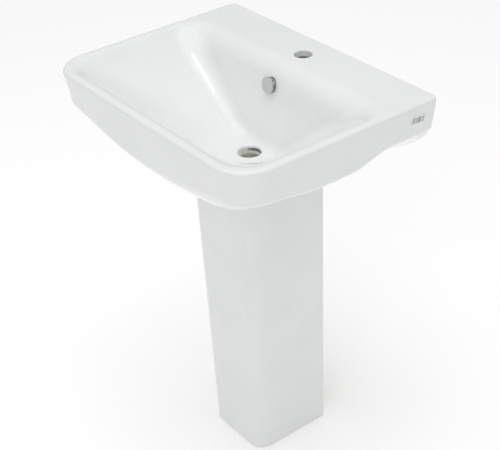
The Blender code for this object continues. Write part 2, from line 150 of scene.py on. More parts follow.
def bar(radius, start, end):
    """A round bar from one point to the other."""
    span = Vector(end) - Vector(start)
    turn = span.to_track_quat("Z", "Y").to_matrix().to_4x4()
    place = Matrix.Translation((Vector(start) + Vector(end)) / 2) @ turn
    mesh = bmesh.new()
    bmesh.ops.create_cone(
        mesh, cap_ends=True, segments=BAR_SIDES, radius1=radius, radius2=radius, depth=span.length,
        matrix=place,
    )
    return mesh


def make_object(name, mesh, material):
    data = bpy.data.meshes.new(name)
    mesh.to_mesh(data)
    mesh.free()
    data.materials.append(material)
    thing = bpy.data.objects.new(name, data)
    bpy.context.scene.collection.objects.link(thing)
    return thing


def shape_with(thing, operation, material, *meshes):
    """Adds or cuts away each mesh with an applied Boolean; what it leaves has this material."""
    for mesh in meshes:
        tool = make_object("tool", mesh, material)
        boolean = thing.modifiers.new("shape", "BOOLEAN")
        boolean.operation = operation
        boolean.solver = "EXACT"
        boolean.material_mode = "TRANSFER"
        boolean.object = tool
        bpy.context.view_layer.update()
        shaped = bpy.data.meshes.new_from_object(thing.evaluated_get(bpy.context.evaluated_depsgraph_get()))
        thing.modifiers.clear()
        thing.data = shaped
        bpy.data.objects.remove(tool)


def smooth(thing):
    """Smooth shading that follows the large faces, so that it runs cleanly up to each cut."""
    thing.data.shade_smooth()
    thing.data.set_sharp_from_angle(angle=SHARP_ANGLE)
    weighted = thing.modifiers.new("weighted", "WEIGHTED_NORMAL")
    weighted.keep_sharp = True


def linear(hex_colour):
    """An sRGB hex colour as a linear one."""
    channels = [int(hex_colour[at : at + 2], 16) / 255 for at in (1, 3, 5)]
    return (*[c / 12.92 if c <= 0.04045 else ((c + 0.055) / 1.055) ** 2.4 for c in channels], 1)


def add_node(tree, kind, inputs=None, **settings):
    """One node with its settings. Each input takes a value, or the socket that feeds it."""
    node = tree.nodes.new(kind)
    for key, value in settings.items():
        setattr(node, key, value)
    for key, value in (inputs or {}).items():
        if isinstance(value, bpy.types.NodeSocket):
            tree.links.new(value, node.inputs[key])
        else:
            node.inputs[key].default_value = value
    return node


# Vitreous china under a clear-white tin glaze, fired to a gloss: near white and even, with a slow drift
# in whiteness over a hand's breadth, a faint orange peel in the reflections, and a bare, matt, warmer
# band where the glaze is wiped off the foot.

WHITENESS_DRIFT = 9.0
GLOSS_DRIFT = 38.0
ORANGE_PEEL = 70.0
PEEL_DEPTH = 0.0004
GLAZE_ROUGHNESS = (0.09, 0.15)
GLAZE_IOR = 1.52
WIPED_FOOT = 0.0022
GLAZE_EDGE_FROM = WIPED_FOOT - 0.0016
GLAZE_EDGE_TO = WIPED_FOOT - 0.0010
GLAZE_EDGE_RAGGEDNESS = 160.0
WIPED_ROUGHNESS = 0.75

glazed_china = bpy.data.materials.new("glazed_vitreous_china")
glazed_china.use_nodes = True
tree = glazed_china.node_tree
shader = tree.nodes["Principled BSDF"]
coords = add_node(tree, "ShaderNodeTexCoord").outputs["Object"]
drift = add_node(tree, "ShaderNodeTexNoise", {"Vector": coords, "Scale": WHITENESS_DRIFT, "Detail": 3.0})
whiteness = add_node(tree, "ShaderNodeValToRGB", {"Fac": drift.outputs["Fac"]})
whiteness.color_ramp.elements[0].position = 0.3
whiteness.color_ramp.elements[0].color = linear("#ECEEED")
whiteness.color_ramp.elements[1].position = 0.7
whiteness.color_ramp.elements[1].color = linear("#F0F2F1")
ragged = add_node(
    tree, "ShaderNodeTexNoise", {"Vector": coords, "Scale": GLAZE_EDGE_RAGGEDNESS, "Detail": 2.0}
)
place = add_node(tree, "ShaderNodeSeparateXYZ", {"Vector": coords})
glaze_edge = add_node(
    tree,
    "ShaderNodeMath",
    {0: ragged.outputs["Fac"], 1: -WIPED_FOOT, 2: place.outputs["Z"]},
    operation="MULTIPLY_ADD",
)
glazed = add_node(
    tree,
    "ShaderNodeMapRange",
    {"Value": glaze_edge.outputs[0], "From Min": GLAZE_EDGE_FROM, "From Max": GLAZE_EDGE_TO},
)
surface = add_node(
    tree,
    "ShaderNodeMix",
    {0: glazed.outputs[0], 6: linear("#D3CDBF"), 7: whiteness.outputs["Color"]},
    data_type="RGBA",
)
tree.links.new(surface.outputs[2], shader.inputs["Base Color"])
gloss_drift = add_node(tree, "ShaderNodeTexNoise", {"Vector": coords, "Scale": GLOSS_DRIFT, "Detail": 4.0})
gloss = add_node(
    tree,
    "ShaderNodeMapRange",
    {"Value": gloss_drift.outputs["Fac"], "To Min": GLAZE_ROUGHNESS[0], "To Max": GLAZE_ROUGHNESS[1]},
)
roughness = add_node(tree, "ShaderNodeMix", {0: glazed.outputs[0], 2: WIPED_ROUGHNESS, 3: gloss.outputs[0]})
tree.links.new(roughness.outputs[0], shader.inputs["Roughness"])
peel = add_node(tree, "ShaderNodeTexNoise", {"Vector": coords, "Scale": ORANGE_PEEL, "Detail": 2.0})
bump = add_node(
    tree, "ShaderNodeBump", {"Strength": 0.10, "Distance": PEEL_DEPTH, "Height": peel.outputs["Fac"]}
)
tree.links.new(bump.outputs[0], shader.inputs["Normal"])
shader.inputs["IOR"].default_value = GLAZE_IOR

# Bare vitreous china biscuit, as the inside of a slip casting is left: a warm, slightly cloudy
# off-white, dead matt, with a fine tooth.

BISCUIT_CLOUD = 25.0
BISCUIT_TOOTH = 900.0
TOOTH_DEPTH = 0.0003
BISCUIT_ROUGHNESS = 0.8

bare_china = bpy.data.materials.new("bare_china_biscuit")
bare_china.use_nodes = True
tree = bare_china.node_tree
shader = tree.nodes["Principled BSDF"]
coords = add_node(tree, "ShaderNodeTexCoord").outputs["Object"]
cloud = add_node(tree, "ShaderNodeTexNoise", {"Vector": coords, "Scale": BISCUIT_CLOUD, "Detail": 6.0})
tone = add_node(tree, "ShaderNodeValToRGB", {"Fac": cloud.outputs["Fac"]})
tone.color_ramp.elements[0].position = 0.3
tone.color_ramp.elements[0].color = linear("#D2CDC2")
tone.color_ramp.elements[1].position = 0.7
tone.color_ramp.elements[1].color = linear("#DEDACF")
tree.links.new(tone.outputs["Color"], shader.inputs["Base Color"])
tooth = add_node(tree, "ShaderNodeTexNoise", {"Vector": coords, "Scale": BISCUIT_TOOTH, "Detail": 4.0})
bump = add_node(
    tree, "ShaderNodeBump", {"Strength": 0.35, "Distance": TOOTH_DEPTH, "Height": tooth.outputs["Fac"]}
)
tree.links.new(bump.outputs[0], shader.inputs["Normal"])
shader.inputs["Roughness"].default_value = BISCUIT_ROUGHNESS


def pedestal_outline(inset, height, back_inset=0.0):
    """The pedestal's outline at this height, moved in at the sides and the front, and at the back."""
    half_x = FOOT_WIDTH / 2 + height * math.tan(SIDE_TAPER) - inset
    radius = max(mix(FOOT_CORNER, TOP_CORNER, height / PEDESTAL_HEIGHT) - inset, BACK_CORNER_ROUND)
    front = PEDESTAL_FRONT - height * math.tan(FRONT_TAPER) + inset
    back = PEDESTAL_BACK - back_inset
    return outline(half_x, front, back, radius, BACK_CORNER_ROUND, level(height), PEDESTAL_STEPS)


rounds = [math.radians(90 * step / ROUND_STEPS) for step in range(ROUND_STEPS + 1)]
rolled = [(EDGE_ROUND * (1 - math.sin(a)), EDGE_ROUND * (1 - math.cos(a))) for a in rounds]
rings = [pedestal_outline(inset, height, inset) for inset, height in rolled]
for step in range(1, PEDESTAL_LEVELS):
    rings.append(pedestal_outline(0, mix(EDGE_ROUND, PEDESTAL_HEIGHT - EDGE_ROUND, step / PEDESTAL_LEVELS)))
rings += [pedestal_outline(inset, PEDESTAL_HEIGHT - height, inset) for inset, height in reversed(rolled)]
pedestal = make_object("pedestal_casting", loft(rings), glazed_china)

chamber = [
    pedestal_outline(PEDESTAL_WALL, height, PEDESTAL_WALL)
    for height in (LEDGE_THICKNESS, PEDESTAL_HEIGHT - LEDGE_THICKNESS)
]
passage = [
    pedestal_outline(PEDESTAL_WALL + LEDGE, height, -OVERRUN)
    for height in (-OVERRUN, PEDESTAL_HEIGHT + OVERRUN)
]
half_slot = FOOT_WIDTH / 2 - PEDESTAL_WALL - REAR_RETURN
cuts = [
    loft(chamber),
    loft(passage),
    block(
        (-half_slot, (PEDESTAL_FRONT + PEDESTAL_BACK) / 2, LEDGE_THICKNESS),
        (half_slot, PEDESTAL_BACK + OVERRUN, PEDESTAL_HEIGHT - LEDGE_THICKNESS),
    ),
]
for side in (-1, 1):
    x = side * (FOOT_WIDTH / 2 - PEDESTAL_WALL - LEDGE / 2)
    y = PEDESTAL_BACK - FLOOR_HOLE_FROM_BACK
    cuts.append(bar(FLOOR_HOLE / 2, (x, y, -OVERRUN), (x, y, LEDGE_THICKNESS + OVERRUN)))
shape_with(pedestal, "DIFFERENCE", bare_china, *cuts)
smooth(pedestal)
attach(pedestal, "root")
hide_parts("pedestal")

# The bearing pads. Two strips of black EPDM rubber, cut from extruded strip with an adhesive back, on
# the pedestal's top ledge. They take up the unevenness between the two castings.

PAD_EDGE = 0.0006
PAD_EDGE_STEPS = 3

# Black EPDM rubber: a near black that never shines, with a greyish bloom in patches and a moulded grain.

RUBBER_BLOOM = 120.0
RUBBER_GRAIN = 1500.0
GRAIN_DEPTH = 0.0002
RUBBER_ROUGHNESS = 0.7

rubber = bpy.data.materials.new("epdm_rubber")
rubber.use_nodes = True
tree = rubber.node_tree
shader = tree.nodes["Principled BSDF"]
coords = add_node(tree, "ShaderNodeTexCoord").outputs["Object"]
bloom = add_node(tree, "ShaderNodeTexNoise", {"Vector": coords, "Scale": RUBBER_BLOOM, "Detail": 5.0})
tone = add_node(tree, "ShaderNodeValToRGB", {"Fac": bloom.outputs["Fac"]})
tone.color_ramp.elements[0].color = linear("#1F1F20")
tone.color_ramp.elements[1].color = linear("#343435")
tree.links.new(tone.outputs["Color"], shader.inputs["Base Color"])
skin_grain = add_node(tree, "ShaderNodeTexNoise", {"Vector": coords, "Scale": RUBBER_GRAIN, "Detail": 2.0})
bump = add_node(
    tree, "ShaderNodeBump", {"Strength": 0.4, "Distance": GRAIN_DEPTH, "Height": skin_grain.outputs["Fac"]}
)
tree.links.new(bump.outputs[0], shader.inputs["Normal"])
shader.inputs["Roughness"].default_value = RUBBER_ROUGHNESS

for side in ("left", "right"):
    low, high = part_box(f"bearing_pad_{side}")
    mesh = block(low, high)
    bmesh.ops.bevel(
        mesh, geom=mesh.edges[:], offset=PAD_EDGE, offset_type="OFFSET", affect="EDGES",
        segments=PAD_EDGE_STEPS, profile=0.5, material=-1,
    )
    pad = make_object(f"bearing_strip_{side}", mesh, rubber)
    smooth(pad)
    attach(pad, "root")
    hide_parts(f"bearing_pad_{side}")

# The basin. One slip casting of vitreous china: a wide scooped bowl that falls from a narrow rounded
# rim to the waste hole, a level tap deck at the wall, a drafted apron, and a belly that gathers in to a
# seat on the pedestal. It is hollow between bowl and skin, with the overflow's duct cast into the back.

RIM_HEIGHT = 0.830
WIDTH = 0.600
DEPTH = 0.440
HALF_WIDTH = WIDTH / 2
FRONT = -DEPTH / 2
BACK = DEPTH / 2
FRONT_CORNER = 0.0715
BACK_CORNER = 0.008
RIM_ROUND = 0.007
APRON_DRAFT = math.radians(7.1)
EDGE_ROLL = 0.014
EDGE_TURN = math.radians(60)
CORNER_APRON = 0.0625
SIDE_APRON = 0.077
REAR_APRON = 0.0585
FRONT_APRON = 0.0915
STEP_FROM_WALL = 0.1445
STEP_LENGTH = 0.095
CORNER_RISE_START = 0.045
CORNER_RISE_LENGTH = 0.150
CROWN_WIDTH = 0.428
REAR_BULGE = 1.39
SIDE_BULGE = 0.975
FRONT_BULGE = 1.38
FRONT_BULGE_LENGTH = 0.060
BULGE_FROM_WALL = 0.040
BULGE_LENGTH = 0.086
SEAT_DEPTH = 0.1765
SEAT_HEIGHT = RIM_HEIGHT - SEAT_DEPTH
SEAT_SIDE_MARGIN = 0.004
SEAT_FRONT_MARGIN = 0.010
SEAT_CORNER_MARGIN = 0.008
SEAT_HALF_WIDTH = FOOT_WIDTH / 2 + PEDESTAL_HEIGHT * math.tan(SIDE_TAPER) + SEAT_SIDE_MARGIN
SEAT_FRONT = PEDESTAL_FRONT - PEDESTAL_HEIGHT * math.tan(FRONT_TAPER) - SEAT_FRONT_MARGIN
SEAT_CORNER = TOP_CORNER + SEAT_CORNER_MARGIN
BASIN_STEPS = (16, 54, 72)
BOWL_RINGS = 64
DECK_RINGS = 6
RIM_RINGS = 8
APRON_RINGS = 8
ROLL_RINGS = 5
BELLY_RINGS = 26
BELLY_CROWDING = 1.5

LIP = 0.012
BOWL_DEPTH = 0.158
DECK = 0.090
REAR_EDGE_ROUND = 0.050
SIDE_EDGE_ROUND = 0.025
SIDE_BLEND = 0.100
FRONT_BLEND = 0.090
REAR_BLEND = 0.020
FLOOR_RADIUS = 0.030
FLOOR_BEHIND_WASTE = 0.0195
FLOOR_REAR_RADIUS = 0.024
CORNER_SPREAD = 0.045
WASTE_Y = 0.0235


def ease(value, start, end):
    """0 before start, 1 after end, with a smooth rise between."""
    share = min(max((value - start) / (end - start), 0.0), 1.0)
    return share * share * (3 - 2 * share)


def wall_run(slope, edge_round, blend):
    """How far in a wall that rounds over, runs straight and rounds out reaches by the bowl's floor."""
    straight = (BOWL_DEPTH - (edge_round + blend) * (1 - math.cos(slope))) / math.tan(slope)
    return (edge_round + blend) * math.sin(slope) + straight


def wall_slope(run, edge_round, blend):
    """The slope at which a wall with these rounds reaches the floor in this run."""
    low, high = math.radians(5), math.radians(89)
    for _ in range(50):
        middle = (low + high) / 2
        if wall_run(middle, edge_round, blend) > run:
            low = middle
        else:
            high = middle
    return low


def wall_inset(depth, slope, edge_round, blend):
    """How far in from the lip the wall is at this depth."""
    upper = edge_round * (1 - math.cos(slope))
    lower = BOWL_DEPTH - blend * (1 - math.cos(slope))
    if depth <= upper:
        return math.sqrt(max(2 * edge_round * depth - depth**2, 0))
    if depth <= lower:
        return edge_round * math.sin(slope) + (depth - upper) / math.tan(slope)
    left = BOWL_DEPTH - depth
    return wall_run(slope, edge_round, blend) - math.sqrt(max(2 * blend * left - left**2, 0))


SIDE_LIP = HALF_WIDTH - LIP
FRONT_LIP = FRONT + LIP
REAR_LIP = BACK - DECK
SIDE_SLOPE = wall_slope(SIDE_LIP - FLOOR_RADIUS, SIDE_EDGE_ROUND, SIDE_BLEND)
FRONT_SLOPE = wall_slope(WASTE_Y - FLOOR_RADIUS - FRONT_LIP, SIDE_EDGE_ROUND, FRONT_BLEND)
REAR_SLOPE = wall_slope(REAR_LIP - WASTE_Y - FLOOR_BEHIND_WASTE, REAR_EDGE_ROUND, REAR_BLEND)


def rear_wall(depth):
    return REAR_LIP - wall_inset(depth, REAR_SLOPE, REAR_EDGE_ROUND, REAR_BLEND)


def bowl_outline(share, outward=0.0, down=0.0):
    """The bowl's outline at a share of its depth, moved outward at the rear and down."""
    depth = share * BOWL_DEPTH
    half_x = SIDE_LIP - wall_inset(depth, SIDE_SLOPE, SIDE_EDGE_ROUND, SIDE_BLEND)
    front = FRONT_LIP + wall_inset(depth, FRONT_SLOPE, SIDE_EDGE_ROUND, FRONT_BLEND)
    back = rear_wall(depth) + outward
    spread = CORNER_SPREAD * 4 * share * (1 - share)
    room = min(half_x, (back - front) / 2)
    front_radius = min(mix(FRONT_CORNER - LIP, FLOOR_RADIUS, share) + spread, room)
    back_radius = min(mix(FRONT_CORNER - LIP, FLOOR_REAR_RADIUS, share), room)
    height = level(RIM_HEIGHT - depth - down)
    return outline(half_x, front, back, front_radius, back_radius, height, BASIN_STEPS)


def rear_share(y, from_wall, length):
    """0 in front of a step that is centred this far from the wall, 1 behind it."""
    return ease(y, BACK - from_wall - length / 2, BACK - from_wall + length / 2)


def apron_depth(x, y):
    """How far below the rim the apron's lower edge is: stepped along the sides, lowest mid-front."""
    past_corner = ease(y - FRONT, CORNER_RISE_START, CORNER_RISE_START + CORNER_RISE_LENGTH)
    side = mix(CORNER_APRON, SIDE_APRON, past_corner)
    side = mix(side, REAR_APRON, rear_share(y, STEP_FROM_WALL, STEP_LENGTH))
    crown = max(1 - (2 * x / CROWN_WIDTH) ** 2, 0) * (1 - past_corner)
    return side + (FRONT_APRON - CORNER_APRON) * crown


def outside(inset, height, back=BACK):
    """The basin's outline moved in at the sides and the front, and flat against the wall."""
    corner = FRONT_CORNER - inset
    return outline(HALF_WIDTH - inset, FRONT + inset, back, corner, BACK_CORNER, height, BASIN_STEPS)


def apron_inset(share):
    return share * (SIDE_APRON - RIM_ROUND) * math.tan(APRON_DRAFT)


def apron_height(share, lift=0.0):
    """A rule for the height at a share of the way from the rim's round to the apron's lower edge."""
    return lambda x, y: RIM_HEIGHT - RIM_ROUND - share * (apron_depth(x, y) - RIM_ROUND) + lift


def belly_outline(share, inward=0.0, lift=0.0, back=BACK):
    """The belly's outline at a share of the way to the seat, bulged in front and most at the rear."""
    edge_inset = apron_inset(1) + EDGE_ROLL * (1 - math.cos(EDGE_TURN))
    half_x = mix(HALF_WIDTH - edge_inset, SEAT_HALF_WIDTH, share) - inward
    front = mix(FRONT + edge_inset, SEAT_FRONT, share) + inward
    radius = mix(FRONT_CORNER - edge_inset, SEAT_CORNER, share) - inward
    spread = CORNER_SPREAD * 4 * share * (1 - share)

    def height(x, y):
        edge = apron_depth(x, y) + EDGE_ROLL * math.sin(EDGE_TURN)
        bulge = mix(FRONT_BULGE, SIDE_BULGE, ease(y, front, front + FRONT_BULGE_LENGTH))
        bulge = mix(bulge, REAR_BULGE, rear_share(y, BULGE_FROM_WALL, BULGE_LENGTH))
        fall = (1 - (1 - share) ** bulge) ** (1 / bulge)
        return RIM_HEIGHT - edge - (SEAT_DEPTH - edge) * fall + lift

    return outline(half_x, front, back, radius + spread, BACK_CORNER, height, BASIN_STEPS)


rings = [bowl_outline((1 + math.cos(math.pi * step / BOWL_RINGS)) / 2) for step in range(BOWL_RINGS + 1)]
top_edge = outside(RIM_ROUND, level(RIM_HEIGHT))
for step in range(1, DECK_RINGS):
    rings.append([lip.lerp(edge, step / DECK_RINGS) for lip, edge in zip(rings[BOWL_RINGS], top_edge)])
for step in range(RIM_RINGS + 1):
    turn = math.radians(90 * step / RIM_RINGS)
    height = level(RIM_HEIGHT - RIM_ROUND * (1 - math.cos(turn)))
    rings.append(outside(RIM_ROUND * (1 - math.sin(turn)), height))
for step in range(1, APRON_RINGS + 1):
    rings.append(outside(apron_inset(step / APRON_RINGS), apron_height(step / APRON_RINGS)))
for step in range(1, ROLL_RINGS + 1):
    turn = EDGE_TURN * step / ROLL_RINGS
    inset = apron_inset(1) + EDGE_ROLL * (1 - math.cos(turn))
    rings.append(outside(inset, apron_height(1, -EDGE_ROLL * math.sin(turn))))
for step in range(1, BELLY_RINGS + 1):
    rings.append(belly_outline((step / BELLY_RINGS) ** BELLY_CROWDING))
skin = loft(rings)
skin_tree = BVHTree.FromBMesh(skin)
basin = make_object("basin_casting", skin, glazed_china)

# The space between bowl and skin, which the slip drains out of.

WALL = 0.009
DECK_WALL = 0.013
BACK_WALL = 0.012
FLOOR_WALL = 0.011
SEAT_WALL = 0.011
UNDER_BOWL = (0.93, 0.8, 0.65, 0.5, 0.35, 0.2, 0.08, 0.03, 0.01)

rings = [bowl_outline(UNDER_BOWL[0], WALL, FLOOR_WALL)]
for point in rings[0]:
    point.z = SEAT_HEIGHT + SEAT_WALL
rings += [bowl_outline(share, WALL, FLOOR_WALL) for share in UNDER_BOWL]
for share, height in ((0.1, level(RIM_HEIGHT - DECK_WALL)), (0.9, apron_height(0.9))):
    rings.append(outside(WALL + apron_inset(share), height, BACK - BACK_WALL))
rings += [belly_outline(share, WALL, SEAT_WALL, BACK - BACK_WALL) for share in (0.2, 0.4, 0.6, 0.8, 1)]
shape_with(basin, "DIFFERENCE", bare_china, loft(rings, as_ring=True))

# The overflow's duct, cast into the back of the bowl: it turns under the floor into the waste hole.

DUCT_WIDTH = 0.040
DUCT_GAP = 0.014
DUCT_TOP = 0.013
DUCT_STEPS = 12
SLOT_WALL = 0.006


def behind_rear_wall(depth, distance):
    """The y and z of the point this far behind the bowl's rear wall, square to it."""
    fall = 0.0001
    forward = (rear_wall(depth - fall) - rear_wall(depth + fall)) / 2
    length = math.hypot(forward, fall)
    return rear_wall(depth) + distance * fall / length, RIM_HEIGHT - depth - distance * forward / length


def duct(near, far, top, slot_wall, half_x):
    """A body behind the bowl's rear wall that turns under the floor to the waste hole."""
    straight_end = BOWL_DEPTH - REAR_BLEND * (1 - math.cos(REAR_SLOPE))
    blend_middle = BOWL_DEPTH - REAR_BLEND * (1 - math.cos(REAR_SLOPE / 2))
    depths = [mix(top, straight_end, step / DUCT_STEPS) for step in range(DUCT_STEPS + 1)]
    front = [behind_rear_wall(depth, near) for depth in depths + [blend_middle]]
    rear = [behind_rear_wall(depth, far) for depth in reversed(depths)]
    roof = RIM_HEIGHT - BOWL_DEPTH - slot_wall
    foot = SEAT_HEIGHT + slot_wall
    slot = [(WASTE_Y + FLOOR_BEHIND_WASTE, roof), (WASTE_Y, roof), (WASTE_Y, foot), (rear[0][0], foot)]
    mesh = bmesh.new()
    face = mesh.faces.new([mesh.verts.new((-half_x, y, z)) for y, z in front + slot + rear])
    grown = bmesh.ops.extrude_face_region(mesh, geom=[face])["geom"]
    moved = [part for part in grown if isinstance(part, bmesh.types.BMVert)]
    bmesh.ops.translate(mesh, vec=(2 * half_x, 0, 0), verts=moved)
    bmesh.ops.recalc_face_normals(mesh, faces=mesh.faces)
    return mesh


duct_body = duct(WALL / 2, 2 * WALL + DUCT_GAP, DUCT_TOP - WALL, SLOT_WALL / 2, DUCT_WIDTH / 2 + WALL)
shape_with(basin, "UNION", bare_china, duct_body)
duct_space = duct(WALL, WALL + DUCT_GAP, DUCT_TOP, SLOT_WALL, DUCT_WIDTH / 2)
shape_with(basin, "DIFFERENCE", bare_china, duct_space)

# The holes. Each is cut in the soft clay and its mouth is sponged round, so the glaze runs over its
# edge: the tap hole in the deck, the overflow in the rear wall, and the waste hole in the floor.

TAP_FROM_WALL = 0.058
TAP_BORE = 0.035
TAP_MOUTH = 0.0025
OVERFLOW_DEPTH = 0.038
OVERFLOW_BORE = 0.026
OVERFLOW_MOUTH = 0.0030
WASTE_BORE = 0.045
WASTE_MOUTH = 0.0055
MOUTH_STEPS = 7
MOUTH_START = math.radians(14)
MOUTH_SIDES = 72
MOUTH_PROBE = 0.87
MOUTH_TANGENT = 0.6


def sponged_bore(centre, out, bore, mouth, reach):
    """A cutter for a round hole whose edge is rolled over, following the surface that it opens in."""
    across = out.orthogonal().normalized()
    spokes = []
    for side in range(MOUTH_SIDES):
        spoke = Matrix.Rotation(math.tau * side / MOUTH_SIDES, 3, out) @ across
        start = centre + (bore / 2 + MOUTH_PROBE * mouth) * spoke + reach * out
        met = skin_tree.ray_cast(start, -out)[0]
        spokes.append((spoke, (met - centre).dot(out)))
    profile = []
    for step in range(MOUTH_STEPS + 1):
        turn = mix(MOUTH_START, math.pi / 2, step / MOUTH_STEPS)
        profile.append((mouth * (1 - math.sin(turn)), mouth * (math.cos(turn) - 1)))
    first_out, first_up = profile[0]
    run = MOUTH_TANGENT * mouth
    tangent = (first_out + run * math.cos(MOUTH_START), first_up + run * math.sin(MOUTH_START))
    rings = [[centre + (bore / 2 + tangent[0]) * spoke + reach * out for spoke, _ in spokes]]
    for outward, up in [tangent] + profile:
        rings.append([centre + (bore / 2 + outward) * spoke + (top + up) * out for spoke, top in spokes])
    rings.append([centre + bore / 2 * spoke - reach * out for spoke, _ in spokes])
    return loft(rings)


out_of_wall = Vector((0, -math.sin(REAR_SLOPE), math.cos(REAR_SLOPE)))
overflow = Vector((0, rear_wall(OVERFLOW_DEPTH), RIM_HEIGHT - OVERFLOW_DEPTH))
tap_hole = Vector((0, BACK - TAP_FROM_WALL, RIM_HEIGHT))
waste_hole = Vector((0, WASTE_Y, RIM_HEIGHT - BOWL_DEPTH))
up = Vector((0, 0, 1))
mouths = [
    sponged_bore(tap_hole, up, TAP_BORE, TAP_MOUTH, 2 * DECK_WALL),
    sponged_bore(overflow, out_of_wall, OVERFLOW_BORE, OVERFLOW_MOUTH, WALL + DUCT_GAP / 2),
    sponged_bore(waste_hole, up, WASTE_BORE, WASTE_MOUTH, SEAT_DEPTH - BOWL_DEPTH + OVERRUN),
]
shape_with(basin, "DIFFERENCE", glazed_china, *mouths)

# The back. The plumber's opening is cut through the belly and the back wall behind the pedestal, and
# two holes in the back wall take the hanger bolts.

SERVICE_WIDTH = 0.210
SERVICE_BEHIND_PEDESTAL = 0.004
BACK_FLANGE = 0.105
FIXING_SPACING = 0.280
FIXING_DEPTH = 0.070
FIXING_BORE = 0.014

openings = [
    block(
        (-SERVICE_WIDTH / 2, PEDESTAL_BACK + SERVICE_BEHIND_PEDESTAL, SEAT_HEIGHT - OVERRUN),
        (SERVICE_WIDTH / 2, BACK + OVERRUN, RIM_HEIGHT - BACK_FLANGE),
    )
]
for side in (-1, 1):
    x, z = side * FIXING_SPACING / 2, RIM_HEIGHT - FIXING_DEPTH
    openings.append(bar(FIXING_BORE / 2, (x, BACK - BACK_WALL - OVERRUN, z), (x, BACK + OVERRUN, z)))
shape_with(basin, "DIFFERENCE", bare_china, *openings)
smooth(basin)
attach(basin, "root")
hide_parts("basin")

# The overflow cap. A chromed brass disc held off the china by a slotted spigot that pushes into the
# overflow hole, so the water runs in behind the disc. It lies square to the bowl's sloping rear wall.

CAP_DIAMETER = 0.033
CAP_THICKNESS = 0.0025
CAP_EDGE = 0.0008
CAP_STAND_OFF = 0.0065
CAP_DISH = 0.00025
DISH_PROFILE = ((0.35, 1.0), (0.75, 0.4))
SPIGOT_GAP = 0.0003
SPIGOT_WALL = 0.0014
SPIGOT_PAST_WALL = 0.002
WINDOW_BORE = 0.0048
WINDOW_PAIRS = 3
CAP_SIDES = 96
CAP_EDGE_STEPS = 5

# Bright chrome over polished brass: a cool grey mirror, unevenly softened by fine wiping marks.

WIPING_MARKS = 260.0
CHROME_ROUGHNESS = (0.10, 0.18)

chrome = bpy.data.materials.new("bright_chrome_plate")
chrome.use_nodes = True
tree = chrome.node_tree
shader = tree.nodes["Principled BSDF"]
coords = add_node(tree, "ShaderNodeTexCoord").outputs["Object"]
wiped = add_node(tree, "ShaderNodeTexNoise", {"Vector": coords, "Scale": WIPING_MARKS, "Detail": 4.0})
softness = add_node(
    tree,
    "ShaderNodeMapRange",
    {"Value": wiped.outputs["Fac"], "To Min": CHROME_ROUGHNESS[0], "To Max": CHROME_ROUGHNESS[1]},
)
tree.links.new(softness.outputs[0], shader.inputs["Roughness"])
shader.inputs["Base Color"].default_value = linear("#C4C5C7")
shader.inputs["Metallic"].default_value = 1.0


def turned(profile):
    """A solid of revolution on the overflow's axis. Each step is a radius and how far out it is."""
    across = out_of_wall.orthogonal().normalized()
    turns = [math.tau * side / CAP_SIDES for side in range(CAP_SIDES)]
    spokes = [Matrix.Rotation(turn, 3, out_of_wall) @ across for turn in turns]
    return loft([[overflow + out * out_of_wall + radius * s for s in spokes] for radius, out in profile])


plate = CAP_DIAMETER / 2
spigot = OVERFLOW_BORE / 2 - SPIGOT_GAP
cap_front = CAP_STAND_OFF + CAP_THICKNESS
inner_end = -WALL - SPIGOT_PAST_WALL
profile = [(share * plate, cap_front - depth * CAP_DISH) for share, depth in DISH_PROFILE]
for step in range(CAP_EDGE_STEPS + 1):
    turn = math.radians(90 * step / CAP_EDGE_STEPS)
    profile.append((plate - CAP_EDGE * (1 - math.sin(turn)), cap_front - CAP_EDGE * (1 - math.cos(turn))))
profile += [(plate, CAP_STAND_OFF), (spigot, CAP_STAND_OFF), (spigot, inner_end)]
cap = make_object("overflow_disc", turned(profile), chrome)
cap_bore = turned([(spigot - SPIGOT_WALL, out) for out in (CAP_STAND_OFF, inner_end - OVERRUN)])
windows = []
middle = overflow + (CAP_STAND_OFF - WINDOW_BORE / 2 - SPIGOT_WALL / 2) * out_of_wall
for pair in range(WINDOW_PAIRS):
    reach = Matrix.Rotation(math.pi * pair / WINDOW_PAIRS, 3, out_of_wall) @ Vector((plate, 0, 0))
    windows.append(bar(WINDOW_BORE / 2, middle - reach, middle + reach))
shape_with(cap, "DIFFERENCE", chrome, cap_bore, *windows)
smooth(cap)
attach(cap, "root")
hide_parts("overflow_cap")

# The barcode label. A self-adhesive paper label on the right side of the apron by the wall, put on
# crooked in the warehouse, with a plain printed bar code and no words.

LABEL_LENGTH = 0.034
LABEL_HEIGHT = 0.019
LABEL_THICKNESS = 0.0003
LABEL_FROM_WALL = 0.044
LABEL_DEPTH = 0.031
LABEL_TILT = math.radians(7)
LABEL_CORNER = 0.0012
LABEL_GAP = 0.0003
BARS_LENGTH = 0.028
BARS_HEIGHT = 0.013
BAR_PITCH = 0.00036
BLANK_SHARE = 0.46
LABEL_CORNER_STEPS = 5
LABEL_FIBRE = 2500.0
FIBRE_DEPTH = 0.0001
LABEL_ROUGHNESS = 0.5

label_y = BACK - LABEL_FROM_WALL
face_height = apron_depth(HALF_WIDTH, label_y) - RIM_ROUND
draft = math.atan(apron_inset(1) / face_height)
face_x = HALF_WIDTH - apron_inset((LABEL_DEPTH - RIM_ROUND) / face_height)
stand_off = (LABEL_GAP + LABEL_THICKNESS / 2) / math.cos(draft)
label_turn = Matrix.Rotation(draft, 4, "Y") @ Matrix.Rotation(-LABEL_TILT, 4, "X")
label_centre = Vector((face_x + stand_off, label_y, RIM_HEIGHT - LABEL_DEPTH))

